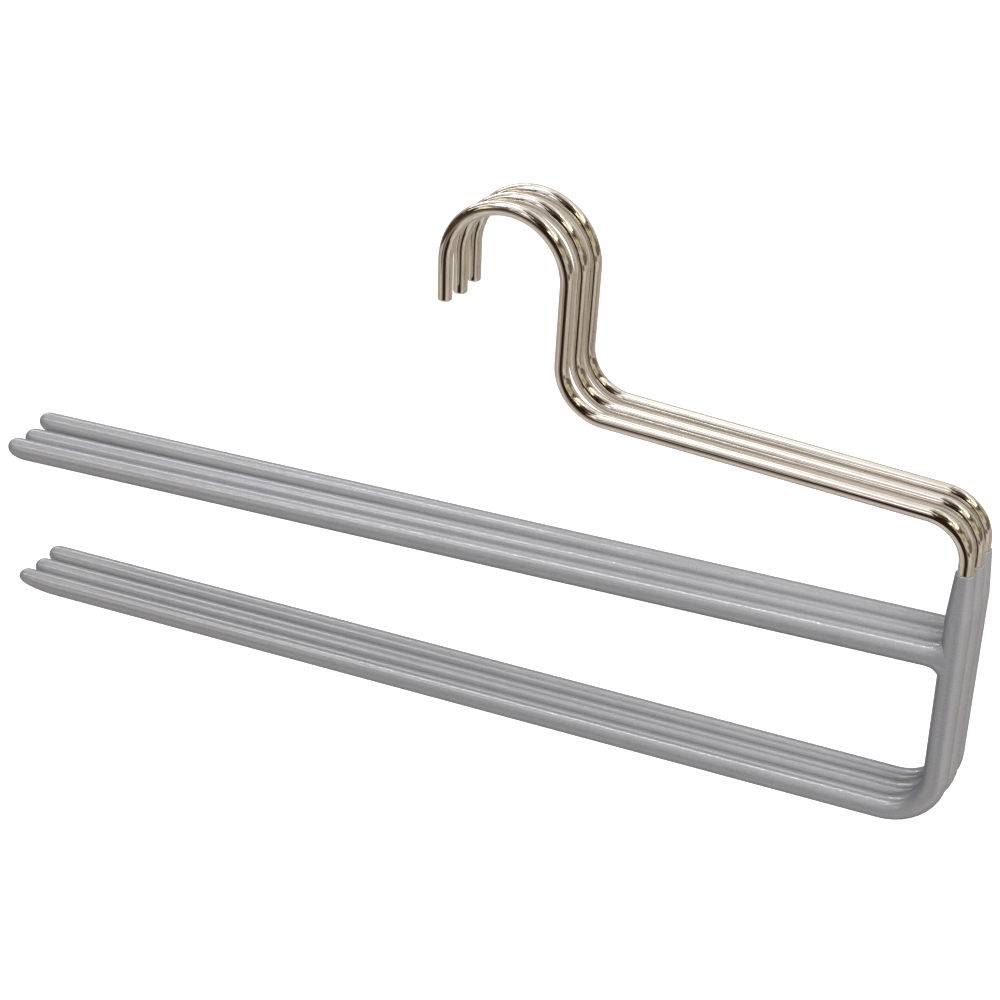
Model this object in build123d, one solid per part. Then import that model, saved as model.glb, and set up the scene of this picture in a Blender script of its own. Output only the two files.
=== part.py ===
from build123d import *
import math
import os

# A nested set of three open-ended double trouser hangers, sizes in millimetres and degrees.
# +X runs along the arms to the upright, +Y from the front hanger to the rear one, +Z is up.
# The origin is where a closet rail carries the front hanger: the inside top of its hook.

# Wire and grip coating
WIRE_DIAMETER = 4.5
COAT_THICKNESS = 1.55
NEST_GAP = 0.4

# Bent frame wire, measured along its centreline from crossing point to crossing point
LOWER_ARM_REACH = 346.2
UPRIGHT_HEIGHT = 102.9
SHOULDER_LENGTH = 126.4
NECK_LENGTH = 39.6
LOWER_CORNER_RADIUS = 16.0
TOP_CORNER_RADIUS = 13.4
NECK_BEND_RADIUS = 15.2
UPRIGHT_LEAN = 1.3
SHOULDER_RISE = 5.1
NECK_LEAN = 4.2

# Hook
HOOK_INSIDE_RADIUS = 17.65
HOOK_SWEEP = 181.0
WIRE_END_ROUNDING = 0.7

# Straight end of the hook, cut a little differently on each hanger
FRONT_HOOK_TIP_LENGTH = 13.1
MIDDLE_HOOK_TIP_LENGTH = 13.6
REAR_HOOK_TIP_LENGTH = 12.7

# Upper arm and its weld
UPPER_ARM_REACH = 342.6
UPPER_ARM_HEIGHT = 58.5
UPPER_ARM_FALL = 0.45
BEAD_HEIGHT = 0.8
BEAD_EDGE_HEIGHT = 0.2
BEAD_LENGTH = 1.8

# Closed ends of the coating: a short nose above, a longer taper drawn up from below
TIP_SKIN = 0.6
LOWER_NOSE_LENGTH = 3.8
LOWER_NOSE_RISE = 0.3
FRONT_LOWER_TIP_TAPER = 18.0
MIDDLE_LOWER_TIP_TAPER = 8.5
REAR_LOWER_TIP_TAPER = 7.5
UPPER_NOSE_LENGTH = 3.8
UPPER_NOSE_RISE = 0.4
UPPER_TIP_TAPER = 7.5

# Open end of the coating on the upright, dipped to a slightly different height on each hanger
FRONT_COAT_TOP_SETBACK = 2.9
MIDDLE_COAT_TOP_SETBACK = 3.9
REAR_COAT_TOP_SETBACK = 2.4
COAT_TOP_TAPER = 14.0
LIP_THICKNESS = 0.5
LIP_ROUNDING = 0.3

# Coating web where the upper arm meets the upright
WEB_LENGTH = 3.8
WEB_DROP = 3.0
WEB_RISE = 1.8

# How the middle and rear hangers sit against the front one: shifted along the arms, fanned out
# towards the open ends about the upright, and swung about the rail
MIDDLE_SHIFT = 1.0
MIDDLE_FAN = 0.086
REAR_SHIFT = 1.4
REAR_FAN = 0.207
REAR_SWING = 0.214
REAR_ARM_LIFT = 0.32

# Places along a taper where its section is set, from the full round to the closed end
LOWER_TAPER_SHARES = [0.0, 0.25, 0.5, 0.7, 0.8]
LOWER_NOSE_SHARES = [0.8, 0.87, 0.93, 0.97, 0.99, 0.999]
UPPER_TIP_SHARES = [0.0, 0.25, 0.5, 0.7, 0.85, 0.94, 0.985, 0.999]
# Places along the web where its section is set, from the arm towards the upright
WEB_PLACE_SHARES = [0.0, 0.35, 0.65, 0.85]
WEB_ROOT_SPREAD_SHARE = 1.3
WEB_ROOT_WIDTH_SHARE = 0.95

WIRE_RADIUS = WIRE_DIAMETER / 2
COAT_RADIUS = WIRE_RADIUS + COAT_THICKNESS
LIP_RADIUS = WIRE_RADIUS + LIP_THICKNESS
NEST_PITCH = 2 * COAT_RADIUS + NEST_GAP
HOOK_RADIUS = HOOK_INSIDE_RADIUS + WIRE_RADIUS


def direction(degrees):
    """Unit vector in the hanger's plane, counted from +X towards +Z."""
    angle = math.radians(degrees)
    return Vector(math.cos(angle), 0, math.sin(angle))


UP_THE_UPRIGHT = direction(90 - UPRIGHT_LEAN)
ALONG_THE_SHOULDER = direction(180 - SHOULDER_RISE)
UP_THE_NECK = direction(90 - NECK_LEAN)

# Crossing points of the centrelines, first with the lower corner at zero
LOWER_CORNER = Vector(0, 0, 0)
TOP_CORNER = LOWER_CORNER + UP_THE_UPRIGHT * UPRIGHT_HEIGHT
NECK_FOOT = TOP_CORNER + ALONG_THE_SHOULDER * SHOULDER_LENGTH
NECK_TOP = NECK_FOOT + UP_THE_NECK * NECK_LENGTH
HOOK_CENTRE = NECK_TOP + direction(180 - NECK_LEAN) * HOOK_RADIUS
RAIL_SEAT = HOOK_CENTRE + Vector(0, 0, HOOK_INSIDE_RADIUS)


def bend(before, corner, after, radius):
    """Start, middle and end of the arc that rounds a corner of the wire."""
    back = (before - corner).normalized()
    onward = (after - corner).normalized()
    half_angle = math.radians(back.get_angle(onward)) / 2
    setback = radius / math.tan(half_angle)
    inward = (back + onward).normalized()
    middle = corner + inward * (radius / math.sin(half_angle) - radius)
    return corner + back * setback, middle, corner + onward * setback


def round_bar(path, radius):
    """A round bar along a path of tangent lines and arcs."""
    section = Plane(origin=path @ 0, z_dir=path % 0) * Circle(radius)
    return sweep(section, path=path)


LOWER_ARM_END = LOWER_CORNER - Vector(LOWER_ARM_REACH, 0, 0)
LOWER_BEND = bend(LOWER_ARM_END, LOWER_CORNER, TOP_CORNER, LOWER_CORNER_RADIUS)
TOP_BEND = bend(LOWER_CORNER, TOP_CORNER, NECK_FOOT, TOP_CORNER_RADIUS)
NECK_BEND = bend(TOP_CORNER, NECK_FOOT, NECK_TOP, NECK_BEND_RADIUS)


def wire_end_depth(nose_rise, taper):
    """How far inside a closed end the wire stops, so that the coating still covers it below."""
    cover_share = (WIRE_RADIUS + TIP_SKIN + nose_rise) / (COAT_RADIUS + nose_rise)
    return taper * (1 - math.sqrt(1 - cover_share ** 2))


def frame_wire(tip_length, tip_taper):
    """The single bent wire: lower arm, upright, shoulder, neck and hook."""
    wire_end = LOWER_ARM_END + Vector(wire_end_depth(LOWER_NOSE_RISE, tip_taper), 0, 0)
    out_of_neck = -NECK_LEAN
    hook_middle = HOOK_CENTRE + direction(out_of_neck + HOOK_SWEEP / 2) * HOOK_RADIUS
    hook_end = HOOK_CENTRE + direction(out_of_neck + HOOK_SWEEP) * HOOK_RADIUS
    tip = hook_end + direction(out_of_neck + HOOK_SWEEP + 90) * tip_length
    path = Wire([
        Line(wire_end, LOWER_BEND[0]),
        ThreePointArc(*LOWER_BEND),
        Line(LOWER_BEND[2], TOP_BEND[0]),
        ThreePointArc(*TOP_BEND),
        Line(TOP_BEND[2], NECK_BEND[0]),
        ThreePointArc(*NECK_BEND),
        Line(NECK_BEND[2], NECK_TOP),
        ThreePointArc(NECK_TOP, hook_middle, hook_end),
        Line(hook_end, tip),
    ])
    bar = round_bar(path, WIRE_RADIUS)
    tip_edge = bar.edges().filter_by(GeomType.CIRCLE).sort_by_distance(tip)[0]
    return fillet(tip_edge, WIRE_END_ROUNDING)


def upper_arm_line(lift):
    """Where the upper arm leaves the upright's centreline, and the way it points."""
    root = LOWER_CORNER + UP_THE_UPRIGHT * UPPER_ARM_HEIGHT
    return root, direction(180 + UPPER_ARM_FALL - lift)


def upper_arm_wire(lift, frame):
    """The straight wire of the upper arm, cut to the round of the upright."""
    root, along = upper_arm_line(lift)
    length = UPPER_ARM_REACH - wire_end_depth(UPPER_NOSE_RISE, UPPER_TIP_TAPER)
    return round_bar(Line(root, root + along * length), WIRE_RADIUS) - frame


def weld_bead(lift, frame, arm):
    """The ring of weld metal round the upper arm's root."""
    root, along = upper_arm_line(lift)
    root_plane = Plane(origin=root, z_dir=along)
    edge_plane = Plane(origin=root + along * (WIRE_RADIUS + BEAD_LENGTH), z_dir=along)
    ring = loft([
        root_plane * Circle(WIRE_RADIUS + BEAD_HEIGHT),
        edge_plane * Circle(WIRE_RADIUS + BEAD_EDGE_HEIGHT),
    ])
    return ring - frame - arm


def rounded(share):
    """Height share of a quarter round at a share of its length from the closed end."""
    return math.sqrt(1 - (1 - min(share, 1)) ** 2)


def across(centre, along, top, bottom):
    """Plane across an arm, centred between the top and the bottom of a section."""
    upwards = along.cross(Vector(0, -1, 0))
    return Plane(origin=centre + upwards * ((top - bottom) / 2), x_dir=upwards, z_dir=along)


def coat_tip(end, along, nose_length, nose_rise, taper, place_shares):
    """A stretch of an arm's closed end: straight on top, drawn up from below, round at the nose."""
    sections = []
    for place_share in place_shares:
        depth = taper * (1 - place_share)
        top = nose_rise + (COAT_RADIUS - nose_rise) * rounded(depth / nose_length)
        bottom = (COAT_RADIUS + nose_rise) * rounded(depth / taper) - nose_rise
        sections.append(across(end - along * depth, along, top, bottom) * Circle((top + bottom) / 2))
    return loft(sections)


def coat_web(root, along):
    """The flare of the coating from the upper arm onto the upright."""
    places = [
        (COAT_RADIUS + WEB_LENGTH * (1 - share), 1 - rounded(1 - share), 1.0) for share in WEB_PLACE_SHARES
    ]
    places.append((0, WEB_ROOT_SPREAD_SHARE, WEB_ROOT_WIDTH_SHARE))
    sections = []
    for distance, spread_share, width_share in places:
        top = COAT_RADIUS + WEB_RISE * spread_share
        bottom = COAT_RADIUS + WEB_DROP * spread_share
        oval = Ellipse((top + bottom) / 2, COAT_RADIUS * width_share)
        sections.append(across(root + along * distance, along, top, bottom) * oval)
    return loft(sections)


def grip_coating(lift, top_setback, tip_taper, metal):
    """The dipped coating over the lower arm, the upright and the upper arm."""
    coat_top = TOP_BEND[0] - UP_THE_UPRIGHT * top_setback
    taper_start = coat_top - UP_THE_UPRIGHT * COAT_TOP_TAPER
    lower_start = LOWER_ARM_END + Vector(tip_taper, 0, 0)
    lower_path = Wire([
        Line(lower_start, LOWER_BEND[0]),
        ThreePointArc(*LOWER_BEND),
        Line(LOWER_BEND[2], taper_start),
    ])
    lower = round_bar(lower_path, COAT_RADIUS)
    top = loft([
        Plane(origin=taper_start, z_dir=UP_THE_UPRIGHT) * Circle(COAT_RADIUS),
        Plane(origin=coat_top, z_dir=UP_THE_UPRIGHT) * Circle(LIP_RADIUS),
    ])
    lip_edge = top.edges().filter_by(GeomType.CIRCLE).sort_by_distance(coat_top)[0]
    top = fillet(lip_edge, LIP_ROUNDING)
    leftwards = Vector(-1, 0, 0)
    lower_sizes = (LOWER_NOSE_LENGTH, LOWER_NOSE_RISE, tip_taper)
    lower_taper = coat_tip(LOWER_ARM_END, leftwards, *lower_sizes, LOWER_TAPER_SHARES)
    lower_nose = coat_tip(LOWER_ARM_END, leftwards, *lower_sizes, LOWER_NOSE_SHARES)

    root, along = upper_arm_line(lift)
    upper_end = root + along * UPPER_ARM_REACH
    upper_path = Line(root + along * (COAT_RADIUS + WEB_LENGTH), upper_end - along * UPPER_TIP_TAPER)
    upper = round_bar(upper_path, COAT_RADIUS)
    upper_sizes = (UPPER_NOSE_LENGTH, UPPER_NOSE_RISE, UPPER_TIP_TAPER)
    upper_tip = coat_tip(upper_end, along, *upper_sizes, UPPER_TIP_SHARES)

    coat = lower + top + lower_taper + lower_nose + coat_web(root, along) + upper + upper_tip
    for piece in metal:
        coat = coat - piece
    return coat


def place_in_nest(shift, depth, fan, swing):
    """Where a hanger sits: swung about its hook, fanned out about its upright, then set on the rail."""
    about_hook = Pos(HOOK_CENTRE) * Rot(0, swing, 0) * Pos(-HOOK_CENTRE)
    about_upright = Rot(0, 0, -fan)
    return Pos(Vector(shift, depth, 0) - RAIL_SEAT) * about_upright * about_hook


def hanger(name, place, tip_length, top_setback, tip_taper, lift):
    """The four pieces of one hanger, set in their place in the nest."""
    frame = frame_wire(tip_length, tip_taper)
    arm = upper_arm_wire(lift, frame)
    bead = weld_bead(lift, frame, arm)
    coat = grip_coating(lift, top_setback, tip_taper, [frame, arm, bead])
    return {
        name + "_frame_wire": place * frame,
        name + "_upper_arm_wire": place * arm,
        name + "_weld_bead": place * bead,
        name + "_grip_coating": place * coat,
    }


front_place = place_in_nest(0, 0, 0, 0)
middle_place = place_in_nest(MIDDLE_SHIFT, NEST_PITCH, MIDDLE_FAN, 0)
rear_place = place_in_nest(REAR_SHIFT, 2 * NEST_PITCH, REAR_FAN, REAR_SWING)

pieces = {}
for name, place, tip_length, top_setback, tip_taper, lift in (
    ("front", front_place, FRONT_HOOK_TIP_LENGTH, FRONT_COAT_TOP_SETBACK, FRONT_LOWER_TIP_TAPER, 0),
    ("middle", middle_place, MIDDLE_HOOK_TIP_LENGTH, MIDDLE_COAT_TOP_SETBACK, MIDDLE_LOWER_TIP_TAPER, 0),
    ("rear", rear_place, REAR_HOOK_TIP_LENGTH, REAR_COAT_TOP_SETBACK, REAR_LOWER_TIP_TAPER, REAR_ARM_LIFT),
):
    pieces.update(hanger(name, place, tip_length, top_setback, tip_taper, lift))

os.makedirs("parts", exist_ok=True)
for node, piece in pieces.items():
    export_step(piece, "parts/" + node + ".step")
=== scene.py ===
import math

import bpy
import numpy as np
from bpy.props import FloatProperty, FloatVectorProperty, IntProperty, PointerProperty
from bpy.types import Operator, Panel, PropertyGroup
from mathutils import Matrix, Vector


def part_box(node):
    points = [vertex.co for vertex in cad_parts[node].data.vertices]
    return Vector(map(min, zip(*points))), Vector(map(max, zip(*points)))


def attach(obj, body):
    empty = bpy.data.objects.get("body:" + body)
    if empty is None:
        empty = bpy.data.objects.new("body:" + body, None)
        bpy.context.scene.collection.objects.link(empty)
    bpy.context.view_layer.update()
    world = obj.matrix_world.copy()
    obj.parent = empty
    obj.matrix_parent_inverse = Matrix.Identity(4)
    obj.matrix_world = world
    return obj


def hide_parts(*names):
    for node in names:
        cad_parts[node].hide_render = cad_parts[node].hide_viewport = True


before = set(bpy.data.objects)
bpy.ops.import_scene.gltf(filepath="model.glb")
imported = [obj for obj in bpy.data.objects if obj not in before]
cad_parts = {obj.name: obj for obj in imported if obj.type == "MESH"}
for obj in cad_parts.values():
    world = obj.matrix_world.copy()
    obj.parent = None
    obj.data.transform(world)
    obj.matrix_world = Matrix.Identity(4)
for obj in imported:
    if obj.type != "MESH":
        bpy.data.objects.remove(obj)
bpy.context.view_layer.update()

# A nested set of three open-ended trouser hangers: bent plated wires with dipped grip coatings.
# Everything is in metres: +X along the arms to the upright, +Y from the front hanger to the rear
# one, +Z up, and zero at the rail seat, the inside top of the front hanger's hook.

bl_info = {
    "name": "Trouser Hanger Set",
    "version": (1, 0, 0),
    "blender": (4, 5, 0),
    "location": "3D View > Sidebar > Hangers",
    "description": "Plated wires, grip coatings and studio for a nested set of trouser hangers",
    "category": "Object",
}

MM = 0.001
HANGERS = ("front", "middle", "rear")

# How each hanger sits against the front one: its shift, its fan about the upright and its swing
# about the hook, both in degrees, and the straight length at the end of its hook
NEST_SHIFTS = {
    "front": Vector((0.0, 0.0, 0.0)),
    "middle": Vector((1.0 * MM, 8.0 * MM, 0.0)),
    "rear": Vector((1.4 * MM, 16.0 * MM, 0.0)),
}
NEST_FANS = {"front": 0.0, "middle": 0.086, "rear": 0.207}
NEST_SWINGS = {"front": 0.0, "middle": 0.0, "rear": 0.214}
HOOK_TIP_LENGTHS = {"front": 13.1 * MM, "middle": 13.6 * MM, "rear": 12.7 * MM}

# The bent frame wire along its centreline, from the hook's tip to the end of the lower arm
HOOK_INSIDE_RADIUS = 17.65 * MM
HOOK_CENTRE = Vector((0.0, 0.0, -HOOK_INSIDE_RADIUS))
HOOK_SWEEP = 181.0
NECK_LEAN = 4.2
NECK_LENGTH = 39.6 * MM
NECK_BEND_RADIUS = 15.2 * MM
SHOULDER_RISE = 5.1
SHOULDER_LENGTH = 126.4 * MM
TOP_CORNER_RADIUS = 13.4 * MM
UPRIGHT_LEAN = 1.3
UPRIGHT_HEIGHT = 102.9 * MM
LOWER_CORNER_RADIUS = 16.0 * MM
LOWER_ARM_REACH = 346.2 * MM
LOWER_END_DEPTHS = {"front": 6.478 * MM, "middle": 3.059 * MM, "rear": 2.699 * MM}

# How far apart the hangers lie on the straightened wire, so that no two have the same marks
RUN_OFFSET = 1.37

# The small round at the wire's cut ends, and how near two places count as the same
END_ROUND = 0.7 * MM
END_ROUND_STEPS = 6
SAME_PLACE = 1e-6
MERGE_DISTANCE = 1e-7
ARM_END_TOLERANCE = 0.2 * MM

# The fewest rings that a bend gets
LEAST_BEND_STEPS = 3

# How handling marks are drawn: the detail and roughness of each noise, how strong it is where a
# line or a patch starts and where it is full, and how deep a line cuts
LINE_NOISE = (3.0, 0.6)
HAZE_NOISE = (3.0, 0.55)
LINE_LIMITS = (0.56, 0.72)
HAZE_LIMITS = (0.48, 0.74)
LINE_DEPTH_SHARE = 0.5

# Marks on the plating: rub lines along the wire, hazy patches, and what they add to the shine
WIRE_MARKS = {"Line Scale": 2600.0, "Stretch": (0.02, 1.0, 1.0), "Haze Scale": 140.0}
WIRE_HAZE_SHARE = 0.35
WIRE_ROUGHNESS = 0.03
WIRE_LINE_ROUGHNESS = 0.03
WIRE_HAZE_ROUGHNESS = 0.03
WIRE_BUMP = {"Strength": 0.05, "Distance": 0.1 * MM}

# Bare weld metal: its colours, from clean to heat tinted, and its ripples
WELD_COLOUR = (0.50, 0.47, 0.43)
HEAT_TINT = (0.30, 0.22, 0.16)
WELD_MARKS = {"Line Scale": 1800.0, "Stretch": (1.0, 1.0, 1.0), "Haze Scale": 900.0}
WELD_ROUGHNESS = 0.32
WELD_HAZE_ROUGHNESS = 0.25
WELD_RIPPLES = {"Scale": 420.0, "Distortion": 1.2, "Detail": 2.0}
WELD_BUMP = {"Strength": 0.6, "Distance": 0.2 * MM}

# The grip coating: how much its flakes show, its clouds and sag marks, and its soft shine
FLAKE_SHARE = 0.55
FLAKE_LIMITS = (0.35, 1.0)
CLOUD_SCALE = 110.0
CLOUD_NOISE = (3.0, 0.55)
CLOUD_LIMITS = (0.35, 0.75)
CLOUD_SHADE = 0.86
CLOUD_STRENGTH = 0.2
COAT_MARKS = {"Line Scale": 700.0, "Stretch": (0.25, 1.0, 0.4), "Haze Scale": 45.0}
COAT_METAL = 0.25
FLAKE_METAL = 0.22
COAT_ROUGHNESS = 0.13
CLOUD_ROUGHNESS = 0.06
COAT_HAZE_ROUGHNESS = 0.05
COAT_REFRACTION = 1.28
COAT_SHINE_TINT = (0.55, 0.55, 0.58, 1.0)
SAG_HEIGHT_SHARE = 0.25
CLOUD_HEIGHT_SHARE = 2.0
COAT_BUMP = {"Strength": 0.08, "Distance": 0.25 * MM}

# The pale floor, with a faint paper grain
FLOOR_SIZE = 16.0
FLOOR_ROUGHNESS = 0.9
FLOOR_GLOW = 0.62
PAPER_SCALE = 30.0
PAPER_NOISE = (4.0, 0.6)
PAPER_LIMITS = (0.3, 0.7)
PAPER_SHADE = 0.94
PAPER_STRENGTH = 0.15

# The soft lights as name, bearing, height, width, depth and colour, all aimed at one place
SOFTBOXES = (
    ("key_softbox", -44.0, 34.0, 2.2, 1.6, (1.0, 0.98, 0.94)),
    ("overhead_softbox", 90.0, 75.0, 1.8, 1.2, (0.86, 0.94, 1.0)),
)
SOFTBOX_AIM = Vector((0.0, 0.0, -0.1))
SOFTBOX_DISTANCE = 2.0

# Where the photograph was taken from, how the camera is turned in degrees, the width of its
# sensor in millimetres, and the nearest that it sees
CAMERA_PLACE = (0.22915, -0.46367, 0.19022)
CAMERA_TURN = (61.22464, 1.02477, 26.07270)
CAMERA_SENSOR = 36.0
CAMERA_NEAR_LIMIT = 10.0 * MM

# The room that the plating mirrors, painted in order over pale walls and a white ceiling: bearings
# and elevations in degrees, how far a part leans over with height, its softness and its shade.
# Bearings run from the far wall (-240) past the arms' open ends (-180), the camera's side (-90)
# and the upright's side (0) to the far wall again (120). The walls turn into the ceiling between
# two elevations.
BEARING_LIMITS = (-240.0, 120.0)
CEILING_ELEVATIONS = (40.0, 60.0)
WALL_SHADE = (0.47, 0.42, 0.35)
CEILING_SHADE = (0.82, 0.80, 0.77)
ROOM_PARTS = (
    ((-260, 140), (28, 62), 0.0, 6.0, (0.70, 0.65, 0.59)),        # upper walls
    ((-260, 140), (-95, -13), 0.0, 1.5, (0.51, 0.46, 0.40)),      # floor
    ((-5, 125), (-95, -12), 0.0, 5.0, (0.36, 0.31, 0.245)),       # floor in shade
    ((-218, -152), (-30, -12), 0.0, 4.0, (0.38, 0.335, 0.285)),   # shaded floor at the far wall
    ((-220, -186), (-16, 12), 0.0, 4.0, (0.32, 0.28, 0.23)),      # low things at the far wall
    ((-262, -226), (12, 60), 0.25, 3.0, (0.42, 0.35, 0.33)),      # far corner
    ((-150, -78), (43, 78), 0.0, 1.5, (1.09, 1.06, 1.03)),        # pale upper wall on the left
    ((-190, -122), (-12, 28), 0.0, 1.5, (0.060, 0.040, 0.024)),   # dark furniture on the left
    ((-202, -172), (18, 50), 0.6, 1.5, (0.19, 0.15, 0.10)),       # shelves above it
    ((-141, -112), (24, 41), 0.0, 1.0, (0.30, 0.27, 0.235)),      # grey panel over the furniture
    ((-145, -124), (22, 31), 0.0, 1.0, (0.44, 0.34, 0.22)),       # bronze board under it
    ((-130, -117), (2, 23), -0.35, 1.0, (0.90, 0.74, 0.44)),      # lit gold panel
    ((-119, -110), (-16, 25), 0.0, 1.0, (0.14, 0.115, 0.085)),    # pillar
    ((-110, -95), (8, 27), 0.0, 1.5, (0.38, 0.33, 0.30)),         # curtain
    ((-112, -84), (27, 46), 0.0, 1.5, (1.00, 0.945, 0.90)),       # pale wall over it
    ((-121, -103), (31, 58), 0.6, 1.0, (0.92, 0.83, 0.77)),       # warm wall
    ((-64, 20), (26, 89), -0.2, 1.0, (0.105, 0.074, 0.052)),      # dark sloping ceiling
    ((20, 80), (60, 82), 0.0, 3.0, (0.36, 0.32, 0.28)),           # grey ceiling
    ((-88, -60), (0, 46), 0.0, 1.5, (0.070, 0.040, 0.027)),       # dark doorway
    ((-104, -86), (12, 45), 0.8, 1.0, (0.028, 0.016, 0.009)),     # its darkest part
    ((-60, -29), (19, 34), 0.0, 1.0, (1.25, 1.10, 0.80)),         # cream panels
    ((-122, -25), (31, 57), 1.93, 0.8, (1.45, 1.33, 1.02)),       # bright window under the slope
    ((-46, -40), (19, 46), 0.0, 0.6, (0.22, 0.18, 0.12)),         # a post between them
    ((-66, -33), (15, 19), 0.0, 0.6, (0.07, 0.045, 0.03)),        # a dark ledge under the panels
    ((29, 116), (31, 61), 0.0, 4.0, (0.76, 0.71, 0.65)),          # bright wall beside it
    ((-50, -3), (4, 25), 0.0, 1.0, (0.46, 0.385, 0.24)),          # olive wall
    ((-3, 27), (-4, 28), 0.0, 1.0, (0.21, 0.17, 0.11)),           # the same in shade
    ((27, 60), (4, 30), 0.0, 3.0, (0.40, 0.36, 0.24)),            # and further on
    ((-17, 34), (28, 35), 0.0, 0.7, (0.15, 0.115, 0.07)),         # window sill
    ((-42, -17), (23, 28), 0.0, 0.7, (0.19, 0.15, 0.09)),         # its lower end
    ((-22, 60), (-9, 3), 0.0, 1.5, (0.15, 0.115, 0.08)),          # dark skirting
    ((-60, -22), (-16, -10), 0.0, 1.5, (0.17, 0.13, 0.095)),      # its shadow on the floor
    ((-133, -60), (-22, 8), 0.0, 1.5, (0.060, 0.042, 0.029)),     # table edge by the camera
    ((-122, -98), (-33, -17), 0.0, 4.0, (0.26, 0.21, 0.16)),      # shadow on the floor
    ((-66, -50), (-48, -10), 0.0, 5.0, (0.17, 0.13, 0.10)),       # shadow on the other side
    ((-102, -64), (-42, 10), 0.0, 2.0, (0.022, 0.014, 0.008)),    # dark stand by the camera
)
# Strip lights, each from and to a share of its height across the hangers and then along them,
# and its brightness, with the softness of their edges both ways and the height that counts as
# the horizon
STRIP_LIGHTS = (
    ((-0.21, -0.07), (-0.60, -0.10), 4.4),
    ((0.66, 0.82), (-0.72, -0.12), 2.0),
    ((0.80, 1.20), (-2.20, -0.72), 3.4),
    ((-0.64, -0.48), (-2.20, -0.60), 2.4),
)
STRIP_SOFTNESS = (0.015, 0.05)
HORIZON_HEIGHT = 0.001
# Small things in the room: the scale of their cells, their darkest and brightest shares, and
# whether they are only on the walls that the hooks face, with those walls' edges and softness,
# how unevenly the cells lie, and how much of their range of shades is used
CLUTTER_LAYERS = ((13.0, 0.80, 1.20, False), (7.0, 0.34, 1.36, True))
CLUTTER_BEARINGS = (-182.0, 45.0, 8.0)
CLUTTER_ELEVATIONS = (4.0, 64.0, 4.0)
CLUTTER_UNEVENNESS = 0.9
CLUTTER_LIMITS = (0.1, 0.9)
# How the room's edges waver, and how bright the room is where it is mirrored
WAVER_NOISE = {"Scale": 3.2, "Detail": 2.0}
WAVER_STRENGTH = 0.12
MIRRORED_BRIGHTNESS = 1.15
# The soft light from all around, from below to above
SOFT_LIGHT_ELEVATIONS = (-60.0, 60.0)
SOFT_LIGHT_BELOW = (0.06, 0.06, 0.08)
SOFT_LIGHT_ABOVE = (0.50, 0.52, 0.58)


def wire_radius_of_frame():
    """Half the thickness of the frame's own wire, across the hanger's plane."""
    low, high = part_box("front_frame_wire")
    return (high.y - low.y) / 2


# Settings


class PlatedWireSettings(PropertyGroup):
    diameter: FloatProperty(
        name="Wire diameter", description="Thickness of the plated wire",
        default=2 * wire_radius_of_frame(), min=1.0 * MM, max=10.0 * MM, unit="LENGTH",
        subtype="DISTANCE")
    sides: IntProperty(
        name="Sides", description="Flats round the wire before smoothing", default=64,
        min=16, max=96)
    bend_step: FloatProperty(
        name="Bend step", description="Turn between two rings of a bend",
        default=math.radians(2.5), min=math.radians(1), max=math.radians(10), subtype="ANGLE")
    plating: FloatVectorProperty(
        name="Plating colour", description="Colour of the nickel and chrome plating",
        default=(0.86, 0.835, 0.80), min=0, max=1, size=3, subtype="COLOR")
    haze_colour: FloatVectorProperty(
        name="Haze colour", description="Warmer colour of the thinner places in the plating",
        default=(0.70, 0.655, 0.59), min=0, max=1, size=3, subtype="COLOR")


class GripCoatingSettings(PropertyGroup):
    colour: FloatVectorProperty(
        name="Coating colour", description="Colour of the silver-grey grip coating",
        default=(0.40, 0.40, 0.41), min=0, max=1, size=3, subtype="COLOR")
    flake_colour: FloatVectorProperty(
        name="Flake colour", description="Colour of the fine metal flakes in the coating",
        default=(0.56, 0.56, 0.575), min=0, max=1, size=3, subtype="COLOR")
    flake_size: FloatProperty(
        name="Flake size", description="Size of the metal flakes", default=0.32 * MM,
        min=0.1 * MM, max=2.0 * MM, unit="LENGTH", subtype="DISTANCE")


class StudioSettings(PropertyGroup):
    floor_drop: FloatProperty(
        name="Floor drop", description="Height of the floor below the rail seat",
        default=0.42, min=0.2, max=2.0, unit="LENGTH", subtype="DISTANCE")
    floor_colour: FloatVectorProperty(
        name="Floor colour", description="Colour of the pale floor",
        default=(0.93, 0.925, 0.91), min=0, max=1, size=3, subtype="COLOR")
    key_power: FloatProperty(
        name="Key light", description="Power of the soft light at the camera's right",
        default=40.0, min=0.0, max=500.0, unit="POWER")
    overhead_power: FloatProperty(
        name="Overhead light", description="Power of the soft overhead light",
        default=8.0, min=0.0, max=500.0, unit="POWER")
    lens: FloatProperty(
        name="Lens", description="Focal length on a 36 mm frame", default=67.81,
        min=20.0, max=200.0, unit="CAMERA")


# Modelling helpers


def plane_direction(degrees):
    """Unit vector in the hanger's plane, counted from +X towards +Z."""
    angle = math.radians(degrees)
    return Vector((math.cos(angle), 0.0, math.sin(angle)))


def deselect_all():
    if bpy.context.object and bpy.context.object.mode != "OBJECT":
        bpy.ops.object.mode_set(mode="OBJECT")
    bpy.ops.object.select_all(action="DESELECT")


def edit(piece):
    """Opens one piece in edit mode, with nothing else selected."""
    deselect_all()
    piece.select_set(True)
    bpy.context.view_layer.objects.active = piece
    bpy.ops.object.mode_set(mode="EDIT")


def start_ring(name, radius, sides, centre, heading):
    """An open ring of wire or coating, square to its heading."""
    deselect_all()
    turn = heading.to_track_quat("Z", "Y").to_euler()
    bpy.ops.mesh.primitive_circle_add(
        vertices=sides, radius=radius, fill_type="NOTHING", location=centre, rotation=turn)
    piece = bpy.context.object
    piece.name = piece.data.name = name
    bpy.ops.object.transform_apply(location=True, rotation=True, scale=True)
    edit(piece)
    bpy.ops.mesh.select_all(action="SELECT")
    return piece


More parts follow.
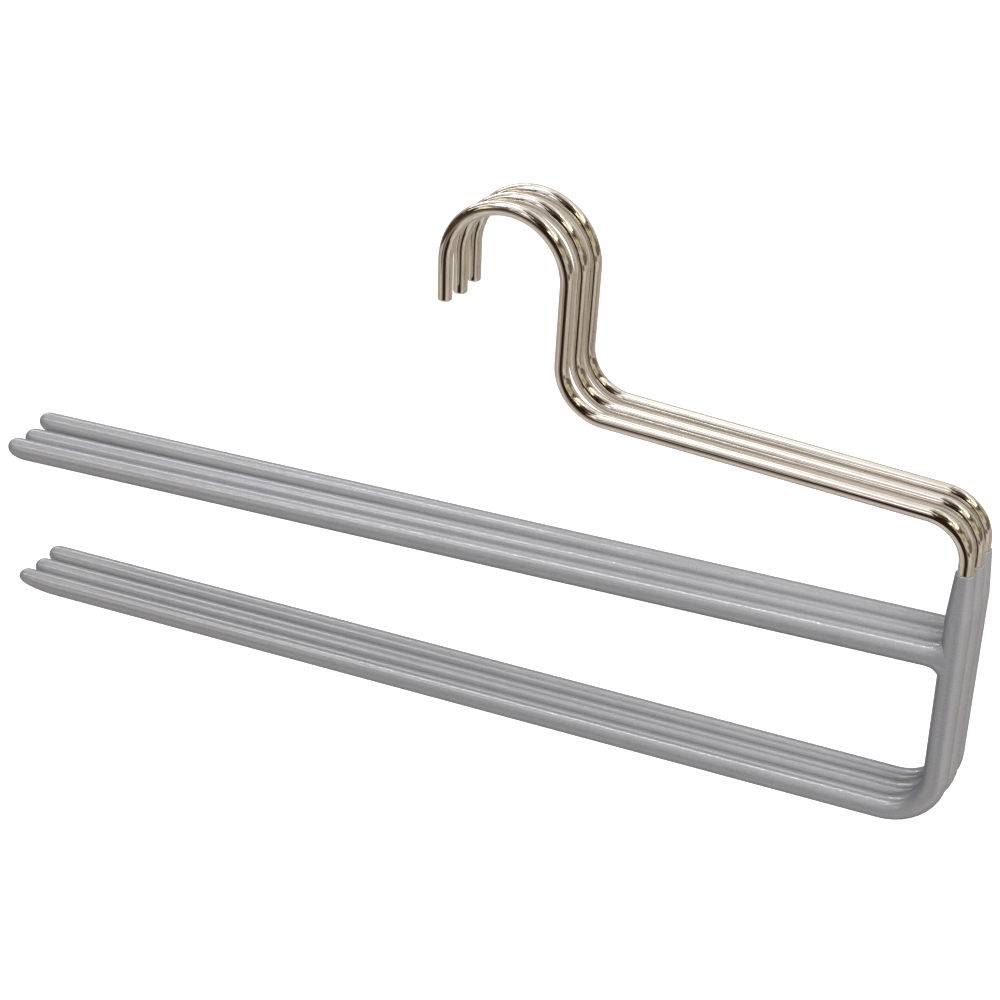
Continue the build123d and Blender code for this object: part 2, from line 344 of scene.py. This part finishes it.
def select_vertices(piece, wanted):
    """Selects the vertices of the piece in edit mode for which wanted(place) is true."""
    bpy.ops.object.mode_set(mode="OBJECT")
    mesh = piece.data
    for part in (mesh.vertices, mesh.edges, mesh.polygons):
        part.foreach_set("select", [False] * len(part))
    chosen = [bool(wanted(v.co)) for v in mesh.vertices]
    mesh.vertices.foreach_set("select", chosen)
    mesh.edges.foreach_set("select", [all(chosen[i] for i in e.vertices) for e in mesh.edges])
    bpy.ops.object.mode_set(mode="EDIT")
    return sum(chosen)


def close_surface(piece, angle=40.0):
    """Faces outward, shaded smooth but for edges sharper than the angle."""
    edit(piece)
    bpy.ops.mesh.select_all(action="SELECT")
    bpy.ops.mesh.remove_doubles(threshold=MERGE_DISTANCE)
    bpy.ops.mesh.normals_make_consistent(inside=False)
    deselect_all()
    piece.select_set(True)
    bpy.context.view_layer.objects.active = piece
    bpy.ops.object.shade_smooth_by_angle(angle=math.radians(angle))
    deselect_all()


def copy_for(piece, name):
    """A copy of a finished piece with its own mesh."""
    copy = piece.copy()
    copy.data = piece.data.copy()
    copy.name = copy.data.name = name
    bpy.context.scene.collection.objects.link(copy)
    return copy


# The wire's run


def wire_legs(wire_radius, hanger):
    """Straights and bends of one hanger's frame wire from its hook's tip.

    Each is given as kind, start, heading, size and turn, where a bend's size is its radius.
    """
    tip_length = HOOK_TIP_LENGTHS[hanger]
    hook_radius = HOOK_INSIDE_RADIUS + wire_radius
    hook_end = HOOK_CENTRE + plane_direction(HOOK_SWEEP - NECK_LEAN) * hook_radius
    heading = HOOK_SWEEP - NECK_LEAN - 90
    tip = hook_end - plane_direction(heading) * tip_length

    def setback(radius, turn):
        return radius * math.tan(math.radians(abs(turn)) / 2)

    neck_turn = 90 - SHOULDER_RISE + NECK_LEAN
    top_turn = SHOULDER_RISE - 90 - UPRIGHT_LEAN
    lower_turn = UPRIGHT_LEAN - 90
    neck_back = setback(NECK_BEND_RADIUS, neck_turn)
    top_back = setback(TOP_CORNER_RADIUS, top_turn)
    lower_back = setback(LOWER_CORNER_RADIUS, lower_turn)
    plan = [
        ("straight", tip_length, 0.0),
        ("bend", hook_radius, -HOOK_SWEEP),
        ("straight", NECK_LENGTH - neck_back, 0.0),
        ("bend", NECK_BEND_RADIUS, neck_turn),
        ("straight", SHOULDER_LENGTH - neck_back - top_back, 0.0),
        ("bend", TOP_CORNER_RADIUS, top_turn),
        ("straight", UPRIGHT_HEIGHT - top_back - lower_back, 0.0),
        ("bend", LOWER_CORNER_RADIUS, lower_turn),
        ("straight", LOWER_ARM_REACH - lower_back - LOWER_END_DEPTHS[hanger], 0.0),
    ]
    legs, place = [], tip
    for kind, size, turn in plan:
        legs.append((kind, place.copy(), heading, size, turn))
        place = leg_point(legs[-1], 1.0)[0]
        heading += turn
    return legs


def nest_place(legs, hanger):
    """The move that takes a piece from the front hanger's place to another hanger's."""
    upright, lower_bend = legs[-3], legs[-2]
    _, _, heading, _, _ = upright
    _, _, _, radius, turn = lower_bend
    lower_corner = leg_point(upright, 1.0)[0] + plane_direction(heading) * radius * math.tan(
        math.radians(abs(turn)) / 2)
    swing = Matrix.Rotation(math.radians(NEST_SWINGS[hanger]), 4, "Y")
    fan = Matrix.Rotation(-math.radians(NEST_FANS[hanger]), 4, "Z")
    to_hook, to_corner = Matrix.Translation(HOOK_CENTRE), Matrix.Translation(lower_corner)
    about_hook = to_hook @ swing @ to_hook.inverted()
    about_upright = to_corner @ fan @ to_corner.inverted()
    return Matrix.Translation(NEST_SHIFTS[hanger]) @ about_upright @ about_hook


def leg_point(leg, share):
    """Centre point and heading at a share of a leg's length."""
    kind, start, heading, size, turn = leg
    if kind == "straight":
        return start + plane_direction(heading) * size * share, heading
    side = 90.0 if turn > 0 else -90.0
    centre = start + plane_direction(heading + side) * size
    return centre + plane_direction(heading - side + turn * share) * size, heading + turn * share


def leg_length(leg):
    kind, _, _, size, turn = leg
    return size if kind == "straight" else size * math.radians(abs(turn))


def run_wire(legs, bend_step):
    """Draws the selected ring out along the legs: straights are extruded and bends are spun."""
    for leg in legs:
        kind, start, heading, size, turn = leg
        if kind == "straight":
            stretch = plane_direction(heading) * size
            bpy.ops.mesh.extrude_region_move(TRANSFORM_OT_translate={"value": stretch})
        else:
            side = 90.0 if turn > 0 else -90.0
            centre = start + plane_direction(heading + side) * size
            steps = max(LEAST_BEND_STEPS, round(math.radians(abs(turn)) / bend_step))
            bpy.ops.mesh.spin(
                steps=steps, dupli=False, angle=math.radians(turn), center=centre, axis=(0, 1, 0))


def lay_along_wire(piece, legs, offset):
    """Stores each vertex's place on the straightened wire, for marks that run along it."""
    mesh = piece.data
    co = np.zeros(len(mesh.vertices) * 3)
    mesh.vertices.foreach_get("co", co)
    co = co.reshape(-1, 3)
    best = np.full(len(co), np.inf)
    laid = np.zeros((len(co), 3))
    run = offset
    for leg in legs:
        kind, start, heading, size, turn = leg
        start = np.array(start)
        if kind == "straight":
            ahead = np.array(plane_direction(heading))
            outward = np.array(plane_direction(heading + 90))
            along = np.clip((co - start) @ ahead, 0, size)
            centre = start + along[:, None] * ahead
            across = (co - centre) @ outward
        else:
            side = 90.0 if turn > 0 else -90.0
            pivot = start + np.array(plane_direction(heading + side)) * size
            arm = co - pivot
            first = math.radians(heading - side)
            angle = np.arctan2(arm[:, 2], arm[:, 0]) - first
            angle = np.mod(angle * math.copysign(1, turn) + math.pi / 2, 2 * math.pi) - math.pi / 2
            angle = np.clip(angle, 0, math.radians(abs(turn)))
            along = angle * size
            bearing = first + angle * math.copysign(1, turn)
            spoke = np.stack([np.cos(bearing), np.zeros(len(co)), np.sin(bearing)], 1)
            centre = pivot + spoke * size
            across = ((co - centre) * spoke).sum(1) * -math.copysign(1, turn)
        distance = np.linalg.norm(co - centre, axis=1)
        nearer = distance < best
        best[nearer] = distance[nearer]
        laid[nearer] = np.stack([run + along, co[:, 1], across], 1)[nearer]
        run += leg_length(leg)
    store = mesh.attributes.new("wire_run", "FLOAT_VECTOR", "POINT")
    store.data.foreach_set("vector", laid.astype(np.float32).ravel())


# Node helpers


def add_node(tree, kind, settings=None, inputs=None):
    """A node with its settings and its inputs, each a value or another node's output."""
    node = tree.nodes.new(kind)
    for key, value in (settings or {}).items():
        setattr(node, key, value)
    for key, value in (inputs or {}).items():
        if isinstance(value, bpy.types.NodeSocket):
            tree.links.new(value, node.inputs[key])
        else:
            node.inputs[key].default_value = value
    return node


def math_of(tree, operation, first, second=0.0, third=0.0):
    node = add_node(tree, "ShaderNodeMath", {"operation": operation})
    for socket, value in zip(node.inputs, (first, second, third)):
        if isinstance(value, bpy.types.NodeSocket):
            tree.links.new(value, socket)
        else:
            socket.default_value = value
    return node.outputs[0]


def ramp_of(tree, value, low, high, bottom=0.0, top=1.0):
    """A smooth step from bottom at low to top at high."""
    node = add_node(
        tree, "ShaderNodeMapRange", {"interpolation_type": "SMOOTHSTEP", "clamp": True},
        {"Value": value, "From Min": low, "From Max": high, "To Min": bottom, "To Max": top})
    return node.outputs["Result"]


def between(tree, value, low, high, softness):
    """A mask that is one between low and high, with soft edges."""
    rise = ramp_of(tree, value, low - softness, low + softness)
    fall = ramp_of(tree, value, high - softness, high + softness, 1.0, 0.0)
    return math_of(tree, "MULTIPLY", rise, fall)


def blend_of(tree, factor, first, second):
    node = add_node(tree, "ShaderNodeMix", {"data_type": "RGBA"})
    for index, value in ((0, factor), (6, first), (7, second)):
        if isinstance(value, bpy.types.NodeSocket):
            tree.links.new(value, node.inputs[index])
        else:
            node.inputs[index].default_value = value if index == 0 else (*value, 1.0)
    return node.outputs[2]


def noise_of(tree, vector, scale, detail=2.0, roughness=0.5):
    node = add_node(tree, "ShaderNodeTexNoise", None, {
        "Vector": vector, "Scale": scale, "Detail": detail, "Roughness": roughness})
    return node.outputs["Fac"]


def vector_math_of(tree, operation, *values):
    node = add_node(tree, "ShaderNodeVectorMath", {"operation": operation}, dict(enumerate(values)))
    return node.outputs["Vector"]


def new_group(name, inputs, outputs):
    """An empty shader node group with its sockets, each given as name, type and default."""
    tree = bpy.data.node_groups.new(name, "ShaderNodeTree")
    for socket_name, kind, default in inputs:
        socket = tree.interface.new_socket(socket_name, in_out="INPUT", socket_type=kind)
        if default is not None:
            socket.default_value = default
    for socket_name, kind in outputs:
        tree.interface.new_socket(socket_name, in_out="OUTPUT", socket_type=kind)
    entry = tree.nodes.new("NodeGroupInput")
    leave = tree.nodes.new("NodeGroupOutput")
    return tree, entry.outputs, leave.inputs


def use_group(tree, group, inputs):
    return add_node(tree, "ShaderNodeGroup", {"node_tree": group}, inputs).outputs


def bump_up(tree, shader, height, settings):
    """Raises the surface by a height, with the bump's strength and distance."""
    bump = add_node(tree, "ShaderNodeBump", None, {**settings, "Height": height})
    tree.links.new(bump.outputs["Normal"], shader.inputs["Normal"])


def new_material(name):
    material = bpy.data.materials.new(name)
    material.use_nodes = True
    tree = material.node_tree
    tree.nodes.clear()
    shader = tree.nodes.new("ShaderNodeBsdfPrincipled")
    leave = tree.nodes.new("ShaderNodeOutputMaterial")
    tree.links.new(shader.outputs["BSDF"], leave.inputs["Surface"])
    return material, tree, shader


def dress(piece, material):
    piece.data.materials.clear()
    piece.data.materials.append(material)


# Shared surface effects


def handling_marks_group():
    """Fine rub lines and hazy patches left by handling: a mask of each, and a height."""
    group = bpy.data.node_groups.get("Handling Marks")
    if group:
        return group
    tree, entry, leave = new_group(
        "Handling Marks",
        [("Place", "NodeSocketVector", None), ("Line Scale", "NodeSocketFloat", 900.0),
         ("Stretch", "NodeSocketVector", (0.03, 1.0, 1.0)),
         ("Haze Scale", "NodeSocketFloat", 60.0)],
        [("Lines", "NodeSocketFloat"), ("Haze", "NodeSocketFloat"), ("Height", "NodeSocketFloat")])
    drawn = vector_math_of(tree, "MULTIPLY", entry["Place"], entry["Stretch"])
    fine = noise_of(tree, drawn, entry["Line Scale"], *LINE_NOISE)
    haze = noise_of(tree, entry["Place"], entry["Haze Scale"], *HAZE_NOISE)
    lines = ramp_of(tree, fine, *LINE_LIMITS)
    patches = ramp_of(tree, haze, *HAZE_LIMITS)
    tree.links.new(lines, leave["Lines"])
    tree.links.new(patches, leave["Haze"])
    height = math_of(tree, "MULTIPLY_ADD", lines, -LINE_DEPTH_SHARE, fine)
    tree.links.new(height, leave["Height"])
    return tree


def fine_grain_group():
    """Fine flakes in a soft skin: a mask of flakes, a soft cloud and a height."""
    group = bpy.data.node_groups.get("Fine Grain")
    if group:
        return group
    tree, entry, leave = new_group(
        "Fine Grain",
        [("Place", "NodeSocketVector", None), ("Grain Scale", "NodeSocketFloat", 3000.0),
         ("Cloud Scale", "NodeSocketFloat", 90.0)],
        [("Flakes", "NodeSocketFloat"), ("Cloud", "NodeSocketFloat"),
         ("Height", "NodeSocketFloat")])
    cells = add_node(tree, "ShaderNodeTexVoronoi", {"feature": "F1"}, {
        "Vector": entry["Place"], "Scale": entry["Grain Scale"], "Randomness": 1.0})
    shade = add_node(tree, "ShaderNodeSeparateColor", None, {"Color": cells.outputs["Color"]})
    cloud = noise_of(tree, entry["Place"], entry["Cloud Scale"], *CLOUD_NOISE)
    tree.links.new(ramp_of(tree, shade.outputs[0], *FLAKE_LIMITS), leave["Flakes"])
    tree.links.new(cloud, leave["Cloud"])
    tree.links.new(math_of(tree, "SUBTRACT", 1.0, cells.outputs["Distance"]), leave["Height"])
    return tree


# Finishes


def plated_wire_finish(settings, name, follows_wire):
    """Bright nickel and chrome plating with drawn lines along the wire."""
    material, tree, shader = new_material(name)
    if follows_wire:
        run = add_node(tree, "ShaderNodeAttribute", {"attribute_name": "wire_run"})
        place = run.outputs["Vector"]
    else:
        place = add_node(tree, "ShaderNodeTexCoord").outputs["Object"]
    marks = use_group(tree, handling_marks_group(), {"Place": place, **WIRE_MARKS})
    tone = blend_of(tree, math_of(tree, "MULTIPLY", marks["Haze"], WIRE_HAZE_SHARE),
                    settings.plating, settings.haze_colour)
    tree.links.new(tone, shader.inputs["Base Color"])
    shader.inputs["Metallic"].default_value = 1.0
    rough = math_of(tree, "MULTIPLY_ADD", marks["Lines"], WIRE_LINE_ROUGHNESS, WIRE_ROUGHNESS)
    rough = math_of(tree, "MULTIPLY_ADD", marks["Haze"], WIRE_HAZE_ROUGHNESS, rough)
    tree.links.new(rough, shader.inputs["Roughness"])
    bump_up(tree, shader, marks["Height"], WIRE_BUMP)
    return material


def weld_metal_finish():
    """Bare weld metal with heat tint and small ripples."""
    material, tree, shader = new_material("weld_bead_metal")
    place = add_node(tree, "ShaderNodeTexCoord").outputs["Object"]
    marks = use_group(tree, handling_marks_group(), {"Place": place, **WELD_MARKS})
    tint = blend_of(tree, marks["Haze"], WELD_COLOUR, HEAT_TINT)
    tree.links.new(tint, shader.inputs["Base Color"])
    shader.inputs["Metallic"].default_value = 1.0
    rough = math_of(tree, "MULTIPLY_ADD", marks["Haze"], WELD_HAZE_ROUGHNESS, WELD_ROUGHNESS)
    tree.links.new(rough, shader.inputs["Roughness"])
    ripples = add_node(tree, "ShaderNodeTexWave", {"wave_type": "RINGS", "rings_direction": "X"}, {
        "Vector": place, **WELD_RIPPLES})
    bump_up(tree, shader, ripples.outputs["Fac"], WELD_BUMP)
    return material


def grip_coating_finish(settings):
    """Soft silver-grey dip coating with fine metal flakes and faint sag marks."""
    material, tree, shader = new_material("grip_coat_silver_grey")
    place = add_node(tree, "ShaderNodeTexCoord").outputs["Object"]
    grain = use_group(tree, fine_grain_group(), {
        "Place": place, "Grain Scale": 1.0 / settings.flake_size, "Cloud Scale": CLOUD_SCALE})
    marks = use_group(tree, handling_marks_group(), {"Place": place, **COAT_MARKS})
    speckle = blend_of(tree, math_of(tree, "MULTIPLY", grain["Flakes"], FLAKE_SHARE),
                       settings.colour, settings.flake_colour)
    darker = tuple(CLOUD_SHADE * c for c in settings.colour)
    clouds = ramp_of(tree, grain["Cloud"], *CLOUD_LIMITS, 0.0, CLOUD_STRENGTH)
    tree.links.new(blend_of(tree, clouds, speckle, darker), shader.inputs["Base Color"])
    metal = math_of(tree, "MULTIPLY_ADD", grain["Flakes"], FLAKE_METAL, COAT_METAL)
    tree.links.new(metal, shader.inputs["Metallic"])
    rough = math_of(tree, "MULTIPLY_ADD", grain["Cloud"], CLOUD_ROUGHNESS, COAT_ROUGHNESS)
    rough = math_of(tree, "MULTIPLY_ADD", marks["Haze"], COAT_HAZE_ROUGHNESS, rough)
    tree.links.new(rough, shader.inputs["Roughness"])
    shader.inputs["IOR"].default_value = COAT_REFRACTION
    shader.inputs["Specular Tint"].default_value = COAT_SHINE_TINT
    height = math_of(tree, "MULTIPLY_ADD", marks["Lines"], SAG_HEIGHT_SHARE, grain["Height"])
    height = math_of(tree, "MULTIPLY_ADD", grain["Cloud"], CLOUD_HEIGHT_SHARE, height)
    bump_up(tree, shader, height, COAT_BUMP)
    return material


# Operators


class HANGERS_OT_frame_wires(Operator):
    """Models the bent plated wire once, with its hook, neck, shoulder and arm, and copies it"""
    bl_idname = "hangers.frame_wires"
    bl_label = "Plated frame wires"

    def execute(self, context):
        settings = context.scene.hanger_wire
        radius = settings.diameter / 2
        legs = wire_legs(radius, "front")
        tip, heading = legs[0][1], legs[0][2]
        near_tip = plane_direction(heading)
        wire = start_ring("front_plated_wire", radius, settings.sides, tip, near_tip)
        run_wire(legs, settings.bend_step)
        bpy.ops.mesh.edge_face_add()
        count = select_vertices(wire, lambda p: abs((p - tip).dot(near_tip)) < SAME_PLACE)
        if count != settings.sides:
            raise RuntimeError("the hook's tip ring wasn't found")
        bpy.ops.mesh.edge_face_add()
        bpy.ops.mesh.bevel(offset=END_ROUND, segments=END_ROUND_STEPS, affect="EDGES")
        close_surface(wire)
        reach = min(v.co.x for v in wire.data.vertices)
        low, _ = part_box("front_frame_wire")
        if abs(reach - low.x) > ARM_END_TOLERANCE:
            raise RuntimeError(f"the wire's arm ends at {reach}, and the frame's at {low.x}")
        dress(wire, plated_wire_finish(settings, "plated_wire_bright", True))
        pieces = {"front": wire}
        for hanger in ("middle", "rear"):
            pieces[hanger] = copy_for(wire, f"{hanger}_plated_wire")
            self.draw_out_ends(pieces[hanger], legs, wire_legs(radius, hanger))
        for index, (hanger, piece) in enumerate(pieces.items()):
            own_legs = wire_legs(radius, hanger)
            lay_along_wire(piece, own_legs, index * RUN_OFFSET)
            piece.data.transform(nest_place(own_legs, hanger))
            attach(piece, f"{hanger}_hanger")
            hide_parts(f"{hanger}_frame_wire")
        return {"FINISHED"}

    def draw_out_ends(self, piece, legs, own_legs):
        """Draws the hook's straight end and the lower arm out to the hanger's own lengths."""
        hook_end, heading = leg_point(legs[0], 1.0)
        arm_end = leg_point(legs[-1], 1.0)[0]
        onward = plane_direction(heading)
        edit(piece)
        select_vertices(piece, lambda p: (p - hook_end).dot(onward) < -SAME_PLACE and p.x < 0)
        bpy.ops.transform.translate(value=own_legs[0][1] - legs[0][1])
        select_vertices(piece, lambda p: p.x < arm_end.x + SAME_PLACE)
        bpy.ops.transform.translate(value=leg_point(own_legs[-1], 1.0)[0] - arm_end)
        deselect_all()


class HANGERS_OT_arm_wires(Operator):
    """Gives the straight upper arm wires and their weld beads their finishes"""
    bl_idname = "hangers.arm_wires"
    bl_label = "Upper arm wires and welds"

    def execute(self, context):
        plating = plated_wire_finish(context.scene.hanger_wire, "plated_arm_wire", False)
        weld = weld_metal_finish()
        for hanger in HANGERS:
            dress(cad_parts[f"{hanger}_upper_arm_wire"], plating)
            dress(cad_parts[f"{hanger}_weld_bead"], weld)
        return {"FINISHED"}


class HANGERS_OT_grip_coatings(Operator):
    """Gives the dipped grip coatings their silver-grey finish"""
    bl_idname = "hangers.grip_coatings"
    bl_label = "Grip coatings"

    def execute(self, context):
        finish = grip_coating_finish(context.scene.hanger_coating)
        for hanger in HANGERS:
            dress(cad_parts[f"{hanger}_grip_coating"], finish)
        return {"FINISHED"}


class HANGERS_OT_stage(Operator):
    """Sets the pale floor, the soft lights, the room that the plating mirrors, and the camera"""
    bl_idname = "hangers.stage"
    bl_label = "Studio and camera"

    def execute(self, context):
        studio = context.scene.hanger_studio
        self.pale_floor(studio)
        self.softboxes((studio.key_power, studio.overhead_power))
        self.surroundings(context.scene)
        self.camera(context.scene, studio.lens)
        context.scene.view_settings.view_transform = "Standard"
        return {"FINISHED"}

    def pale_floor(self, studio):
        deselect_all()
        bpy.ops.mesh.primitive_plane_add(size=FLOOR_SIZE, location=(0.0, 0.0, -studio.floor_drop))
        floor = bpy.context.object
        floor.name = floor.data.name = "studio_floor"
        bpy.ops.object.transform_apply(location=True, rotation=True, scale=True)
        material, tree, shader = new_material("pale_floor")
        place = add_node(tree, "ShaderNodeTexCoord").outputs["Object"]
        paper = noise_of(tree, place, PAPER_SCALE, *PAPER_NOISE)
        darker = tuple(PAPER_SHADE * c for c in studio.floor_colour)
        shade = blend_of(tree, ramp_of(tree, paper, *PAPER_LIMITS, 0.0, PAPER_STRENGTH),
                         studio.floor_colour, darker)
        tree.links.new(shade, shader.inputs["Base Color"])
        shader.inputs["Roughness"].default_value = FLOOR_ROUGHNESS
        shader.inputs["Emission Color"].default_value = (1.0, 1.0, 1.0, 1.0)
        shader.inputs["Emission Strength"].default_value = FLOOR_GLOW
        dress(floor, material)
        floor.visible_glossy = floor.visible_diffuse = False

    def softboxes(self, powers):
        for (name, bearing, height, width, depth, tint), power in zip(SOFTBOXES, powers):
            away = Matrix.Rotation(math.radians(bearing), 3, "Z") @ plane_direction(height)
            place = SOFTBOX_AIM + away * SOFTBOX_DISTANCE
            bpy.ops.object.light_add(type="AREA", location=place)
            lamp = bpy.context.object
            lamp.name = lamp.data.name = name
            lamp.rotation_euler = away.to_track_quat("Z", "Y").to_euler()
            lamp.data.shape = "RECTANGLE"
            lamp.data.size, lamp.data.size_y = width, depth
            lamp.data.energy = power
            lamp.data.color = tint
            lamp.visible_glossy = False

    def camera(self, scene, lens):
        camera_data = bpy.data.cameras.new("photo_camera")
        camera_data.lens = lens
        camera_data.sensor_width = CAMERA_SENSOR
        camera_data.clip_start = CAMERA_NEAR_LIMIT
        camera = bpy.data.objects.new("photo_camera", camera_data)
        camera.location = CAMERA_PLACE
        camera.rotation_euler = [math.radians(angle) for angle in CAMERA_TURN]
        scene.collection.objects.link(camera)
        scene.camera = camera

    def surroundings(self, scene):
        """White to the camera, and the room for the plating to mirror and for soft light."""
        world = bpy.data.worlds.new("studio_surroundings")
        scene.world = world
        world.use_nodes = True
        tree = world.node_tree
        tree.nodes.clear()
        toward = add_node(tree, "ShaderNodeTexCoord").outputs["Generated"]
        bearing, elevation = self.bearing_and_elevation(tree, toward)

        view = blend_of(tree, ramp_of(tree, elevation, *CEILING_ELEVATIONS),
                        WALL_SHADE, CEILING_SHADE)
        for bearings, elevations, slant, softness, shade in ROOM_PARTS:
            leaning = math_of(tree, "MULTIPLY_ADD", elevation, -slant, bearing)
            mask = math_of(tree, "MULTIPLY", between(tree, leaning, *bearings, softness),
                           between(tree, elevation, *elevations, softness))
            view = blend_of(tree, mask, view, shade)
        view = self.clutter(tree, toward, view, math_of(
            tree, "MULTIPLY", between(tree, bearing, *CLUTTER_BEARINGS),
            between(tree, elevation, *CLUTTER_ELEVATIONS)))
        view = self.strip_lights(tree, toward, view)

        soft = blend_of(tree, ramp_of(tree, elevation, *SOFT_LIGHT_ELEVATIONS),
                        SOFT_LIGHT_BELOW, SOFT_LIGHT_ABOVE)
        path = add_node(tree, "ShaderNodeLightPath")
        bright = add_node(tree, "ShaderNodeVectorMath", {"operation": "SCALE"}, {
            0: view, "Scale": MIRRORED_BRIGHTNESS})
        seen = blend_of(tree, path.outputs["Is Glossy Ray"], soft, bright.outputs["Vector"])
        seen = blend_of(tree, path.outputs["Is Camera Ray"], seen, (1.0, 1.0, 1.0))
        back = add_node(tree, "ShaderNodeBackground", None, {"Color": seen, "Strength": 1.0})
        leave = tree.nodes.new("ShaderNodeOutputWorld")
        tree.links.new(back.outputs["Background"], leave.inputs["Surface"])

    def bearing_and_elevation(self, tree, toward):
        """The direction as two angles in degrees, wavering a little so that no edge is straight."""
        waver = add_node(tree, "ShaderNodeTexNoise", None, {"Vector": toward, **WAVER_NOISE})
        centred = vector_math_of(tree, "SUBTRACT", waver.outputs["Color"], (0.5, 0.5, 0.5))
        bent = vector_math_of(tree, "MULTIPLY_ADD", centred, (WAVER_STRENGTH,) * 3, toward)
        bent = vector_math_of(tree, "NORMALIZE", bent)
        split = add_node(tree, "ShaderNodeSeparateXYZ", None, {"Vector": bent})
        turn = math_of(tree, "ARCTAN2", split.outputs["Y"], split.outputs["X"])
        first, last = BEARING_LIMITS
        bearing = math_of(tree, "WRAP", math_of(tree, "DEGREES", turn), last, first)
        elevation = math_of(tree, "DEGREES", math_of(tree, "ARCSINE", split.outputs["Z"]))
        return bearing, elevation

    def clutter(self, tree, toward, view, busy):
        """Shades the room in small square patches, coarse ones only where it is busy."""
        for scale, dim, strong, only_busy in CLUTTER_LAYERS:
            cells = add_node(tree, "ShaderNodeTexVoronoi", {"distance": "CHEBYCHEV"}, {
                "Vector": toward, "Scale": scale, "Randomness": CLUTTER_UNEVENNESS})
            things = add_node(
                tree, "ShaderNodeSeparateColor", None, {"Color": cells.outputs["Color"]})
            level = ramp_of(tree, things.outputs[0], *CLUTTER_LIMITS, dim, strong)
            patched = add_node(
                tree, "ShaderNodeMix", {"data_type": "RGBA", "blend_type": "MULTIPLY"},
                {0: busy if only_busy else 1.0, 6: view, 7: level})
            view = patched.outputs[2]
        return view

    def strip_lights(self, tree, toward, view):
        place = add_node(tree, "ShaderNodeSeparateXYZ", None, {"Vector": toward})
        above = math_of(tree, "MAXIMUM", place.outputs["Z"], HORIZON_HEIGHT)
        across = math_of(tree, "DIVIDE", place.outputs["Y"], above)
        along = math_of(tree, "DIVIDE", place.outputs["X"], above)
        across_softness, along_softness = STRIP_SOFTNESS
        for crosswise, lengthwise, brightness in STRIP_LIGHTS:
            mask = math_of(
                tree, "MULTIPLY", between(tree, across, *crosswise, across_softness),
                between(tree, along, *lengthwise, along_softness))
            view = blend_of(tree, mask, view, (brightness, brightness, brightness))
        return view


class HANGERS_PT_panel(Panel):
    """Lists the hangers' pieces and the studio"""
    bl_idname = "HANGERS_PT_panel"
    bl_label = "Trouser hangers"
    bl_space_type = "VIEW_3D"
    bl_region_type = "UI"
    bl_category = "Hangers"

    def draw(self, context):
        scene = context.scene
        for title, group, keys, operators in (
            ("Wires", scene.hanger_wire,
             ("diameter", "sides", "bend_step", "plating", "haze_colour"),
             ("hangers.frame_wires", "hangers.arm_wires")),
            ("Coatings", scene.hanger_coating, ("colour", "flake_colour", "flake_size"),
             ("hangers.grip_coatings",)),
            ("Studio", scene.hanger_studio,
             ("floor_drop", "floor_colour", "key_power", "overhead_power", "lens"),
             ("hangers.stage",)),
        ):
            box = self.layout.box()
            box.label(text=title)
            for key in keys:
                box.prop(group, key)
            for operator in operators:
                box.operator(operator)


CLASSES = (
    PlatedWireSettings, GripCoatingSettings, StudioSettings,
    HANGERS_OT_frame_wires, HANGERS_OT_arm_wires, HANGERS_OT_grip_coatings, HANGERS_OT_stage,
    HANGERS_PT_panel,
)


def register():
    for item in CLASSES:
        bpy.utils.register_class(item)
    bpy.types.Scene.hanger_wire = PointerProperty(type=PlatedWireSettings)
    bpy.types.Scene.hanger_coating = PointerProperty(type=GripCoatingSettings)
    bpy.types.Scene.hanger_studio = PointerProperty(type=StudioSettings)


def unregister():
    del bpy.types.Scene.hanger_studio
    del bpy.types.Scene.hanger_coating
    del bpy.types.Scene.hanger_wire
    for item in reversed(CLASSES):
        bpy.utils.unregister_class(item)


def main():
    register()
    bpy.ops.hangers.frame_wires()
    bpy.ops.hangers.arm_wires()
    bpy.ops.hangers.grip_coatings()
    bpy.ops.hangers.stage()


if __name__ == "__main__":
    main()
